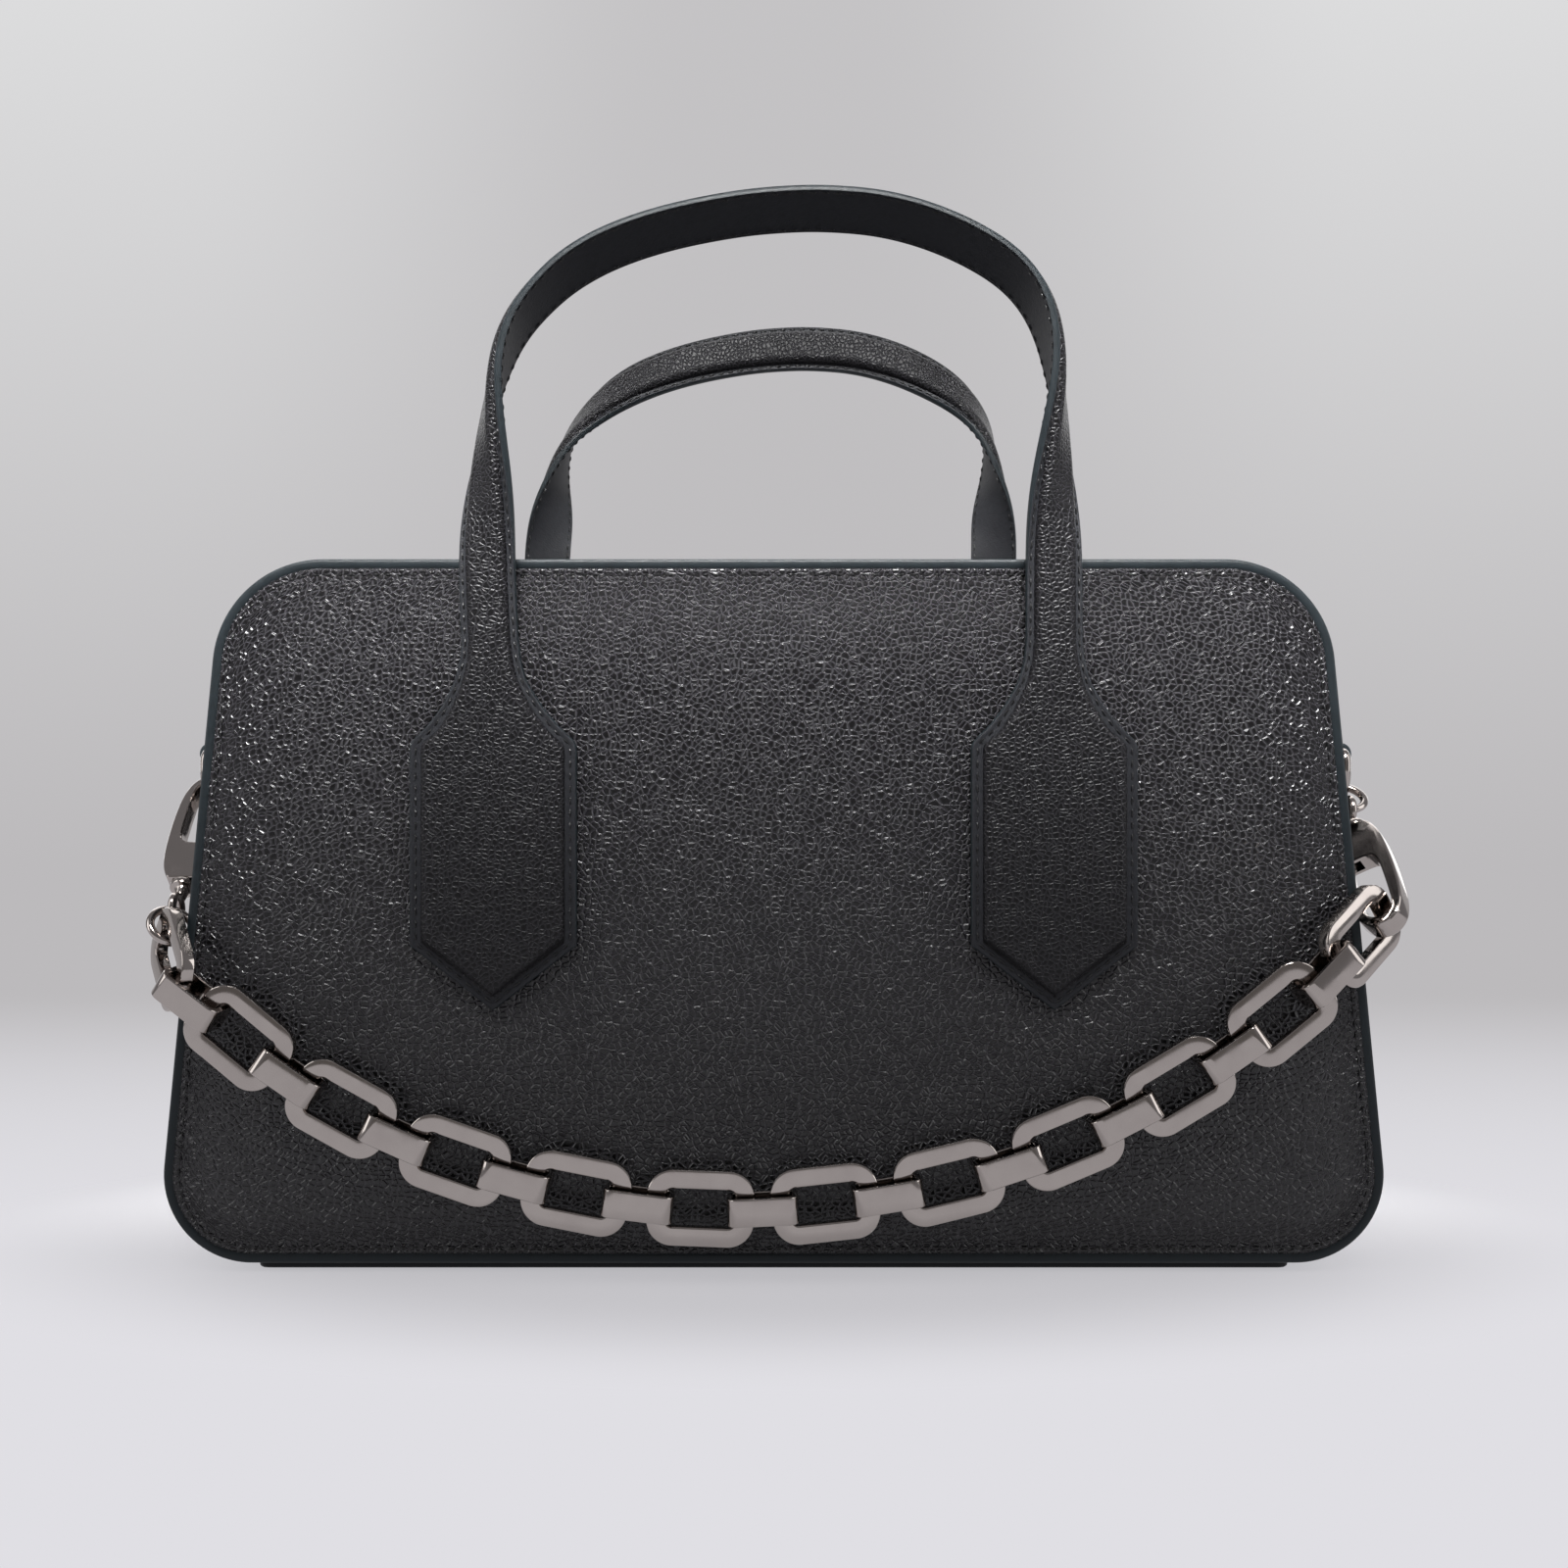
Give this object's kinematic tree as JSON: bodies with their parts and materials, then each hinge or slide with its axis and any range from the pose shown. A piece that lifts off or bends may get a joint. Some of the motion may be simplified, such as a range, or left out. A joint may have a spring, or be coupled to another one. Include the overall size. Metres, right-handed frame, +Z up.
{
  "type": "handbag",
  "caption": "Structured leather handbag with padded twisted handles, a zip along the top and a flat-link metal chain clipped to D-rings on its sides.",
  "frame": {"origin": "centre of the base panel's flat underside, on which the bag stands", "axes": "+X to the right along the front, +Y from the front to the back, +Z up"},
  "size_m": [0.3517, 0.1353, 0.2931],
  "materials": {
    "grained_leather": "pebbled grain, satin",
    "smooth_leather": "smooth, satin",
    "stiff_board": "matte board",
    "dark_polished_metal": "polished, dark plated",
    "zip_tape": "woven tape"
  },
  "bodies": {
    "bag": {"front_panel": "grained_leather", "rear_panel": "grained_leather", "gusset_band": "grained_leather", "top_strip_front": "grained_leather", "top_strip_rear": "grained_leather", "base_panel": "smooth_leather", "base_board": "stiff_board", "zip_tape_front": "zip_tape", "zip_tape_rear": "zip_tape", "zip_coil_front": "dark_polished_metal", "zip_coil_rear": "dark_polished_metal", "zip_stop_left": "dark_polished_metal", "zip_stop_right": "dark_polished_metal", "handle_tab_front_left": "grained_leather", "handle_tab_front_right": "grained_leather", "handle_tab_rear_left": "grained_leather", "handle_tab_rear_right": "grained_leather", "side_loop_left": "grained_leather", "side_loop_right": "grained_leather", "side_ring_left": "dark_polished_metal", "side_ring_right": "dark_polished_metal"},
    "chain": {"oval_link_00": "dark_polished_metal", "band_link_00": "dark_polished_metal", "oval_link_01": "dark_polished_metal", "band_link_01": "dark_polished_metal", "oval_link_02": "dark_polished_metal", "band_link_02": "dark_polished_metal", "oval_link_03": "dark_polished_metal", "band_link_03": "dark_polished_metal", "oval_link_04": "dark_polished_metal", "band_link_04": "dark_polished_metal", "oval_link_05": "dark_polished_metal", "band_link_05": "dark_polished_metal", "oval_link_06": "dark_polished_metal", "band_link_06": "dark_polished_metal", "oval_link_07": "dark_polished_metal", "band_link_07": "dark_polished_metal", "oval_link_08": "dark_polished_metal", "band_link_08": "dark_polished_metal", "oval_link_09": "dark_polished_metal", "band_link_09": "dark_polished_metal", "oval_link_10": "dark_polished_metal", "band_link_10": "dark_polished_metal", "oval_link_11": "dark_polished_metal", "wire_ring_left": "dark_polished_metal", "wire_ring_right": "dark_polished_metal", "clasp_body_left": "dark_polished_metal", "clasp_body_right": "dark_polished_metal", "gate_pin_left": "dark_polished_metal", "gate_pin_right": "dark_polished_metal"},
    "gate_left": {"gate_left": "dark_polished_metal"},
    "gate_right": {"gate_right": "dark_polished_metal"},
    "swivel_left": {"swivel_left": "dark_polished_metal"},
    "swivel_right": {"swivel_right": "dark_polished_metal"},
    "handle_front": {"handle_front": "grained_leather"},
    "handle_rear": {"handle_rear": "grained_leather"},
    "zip_slider": {"zip_slider": "dark_polished_metal"},
    "zip_pull": {"zip_pull_ring": "dark_polished_metal", "zip_pull_tab": "grained_leather"}
  },
  "joints": [
    {"name": "chain_swing", "type": "hinge", "parent": "bag", "child": "chain", "pos_m": [0, 0, 0.1385], "axis": [-1, 0, 0], "range_deg": [0, 30]},
    {"name": "left_gate", "type": "hinge", "parent": "chain", "child": "gate_left", "pos_m": [-0.16293, -0.02554, 0.11296], "axis": [0, -0.7072, 0.707], "range_deg": [0, 20], "stiffness_Nm_per_rad": 0.004, "springref_deg": -17.19},
    {"name": "right_gate", "type": "hinge", "parent": "chain", "child": "gate_right", "pos_m": [0.16428, -0.0302, 0.11092], "axis": [-0.6295, -0.4441, 0.6376], "range_deg": [0, 20], "stiffness_Nm_per_rad": 0.004, "springref_deg": -17.19},
    {"name": "left_swivel", "type": "hinge", "parent": "chain", "child": "swivel_left", "pos_m": [-0.1685, -0.00778, 0.13072], "axis": [0.0502, -0.7061, -0.7063], "range_deg": [-40, 8]},
    {"name": "right_swivel", "type": "hinge", "parent": "chain", "child": "swivel_right", "pos_m": [0.16559, -0.05188, 0.09711], "axis": [0.0794, 0.7795, 0.6214], "range_deg": [-30, 30]},
    {"name": "front_handle_fold", "type": "hinge", "parent": "bag", "child": "handle_front", "pos_m": [0, -0.0587, 0.168], "axis": [1, 0, 0], "range_deg": [-6, 90]},
    {"name": "rear_handle_fold", "type": "hinge", "parent": "bag", "child": "handle_rear", "pos_m": [0, 0.0587, 0.168], "axis": [-1, 0, 0], "range_deg": [-6, 90]},
    {"name": "zip_slide", "type": "slide", "parent": "bag", "child": "zip_slider", "axis": [1, 0, 0], "range_m": [0, 0.21]},
    {"name": "zip_pull_flip", "type": "hinge", "parent": "zip_slider", "child": "zip_pull", "pos_m": [-0.106, 0, 0.19704], "axis": [0, -1, 0], "range_deg": [0, 160]}
  ]
}
